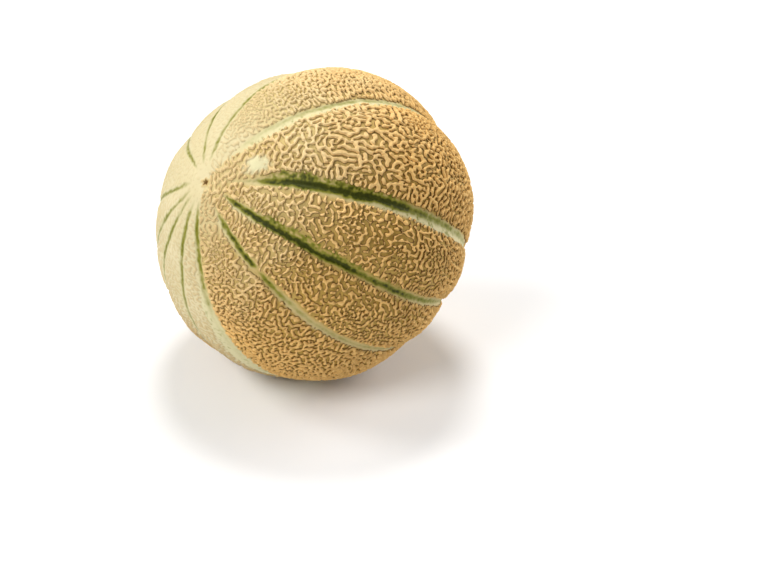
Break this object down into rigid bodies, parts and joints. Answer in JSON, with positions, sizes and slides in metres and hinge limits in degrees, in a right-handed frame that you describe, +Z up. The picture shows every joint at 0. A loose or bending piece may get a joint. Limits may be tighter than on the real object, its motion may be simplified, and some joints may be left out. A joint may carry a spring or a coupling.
{
  "type": "whole cantaloupe melon",
  "caption": "Whole ripe netted cantaloupe melon, lying on a small flat spot with its blossom end tilted up. Ribbed round fruit with corky netting and green sutures.",
  "frame": {"origin": "on the flat spot that the melon rests on, straight below the fruit's middle", "axes": "+Z up; the blossom end points along -X, turned 34.5 degrees towards -Y and tilted up 35.5 degrees"},
  "size_m": [0.1422, 0.1359, 0.1403],
  "materials": {
    "netted_rind": "matte tan netting over pale yellow-green skin, with smooth green sutures"
  },
  "bodies": {
    "root": {"melon": "netted_rind"}
  },
  "joints": []
}
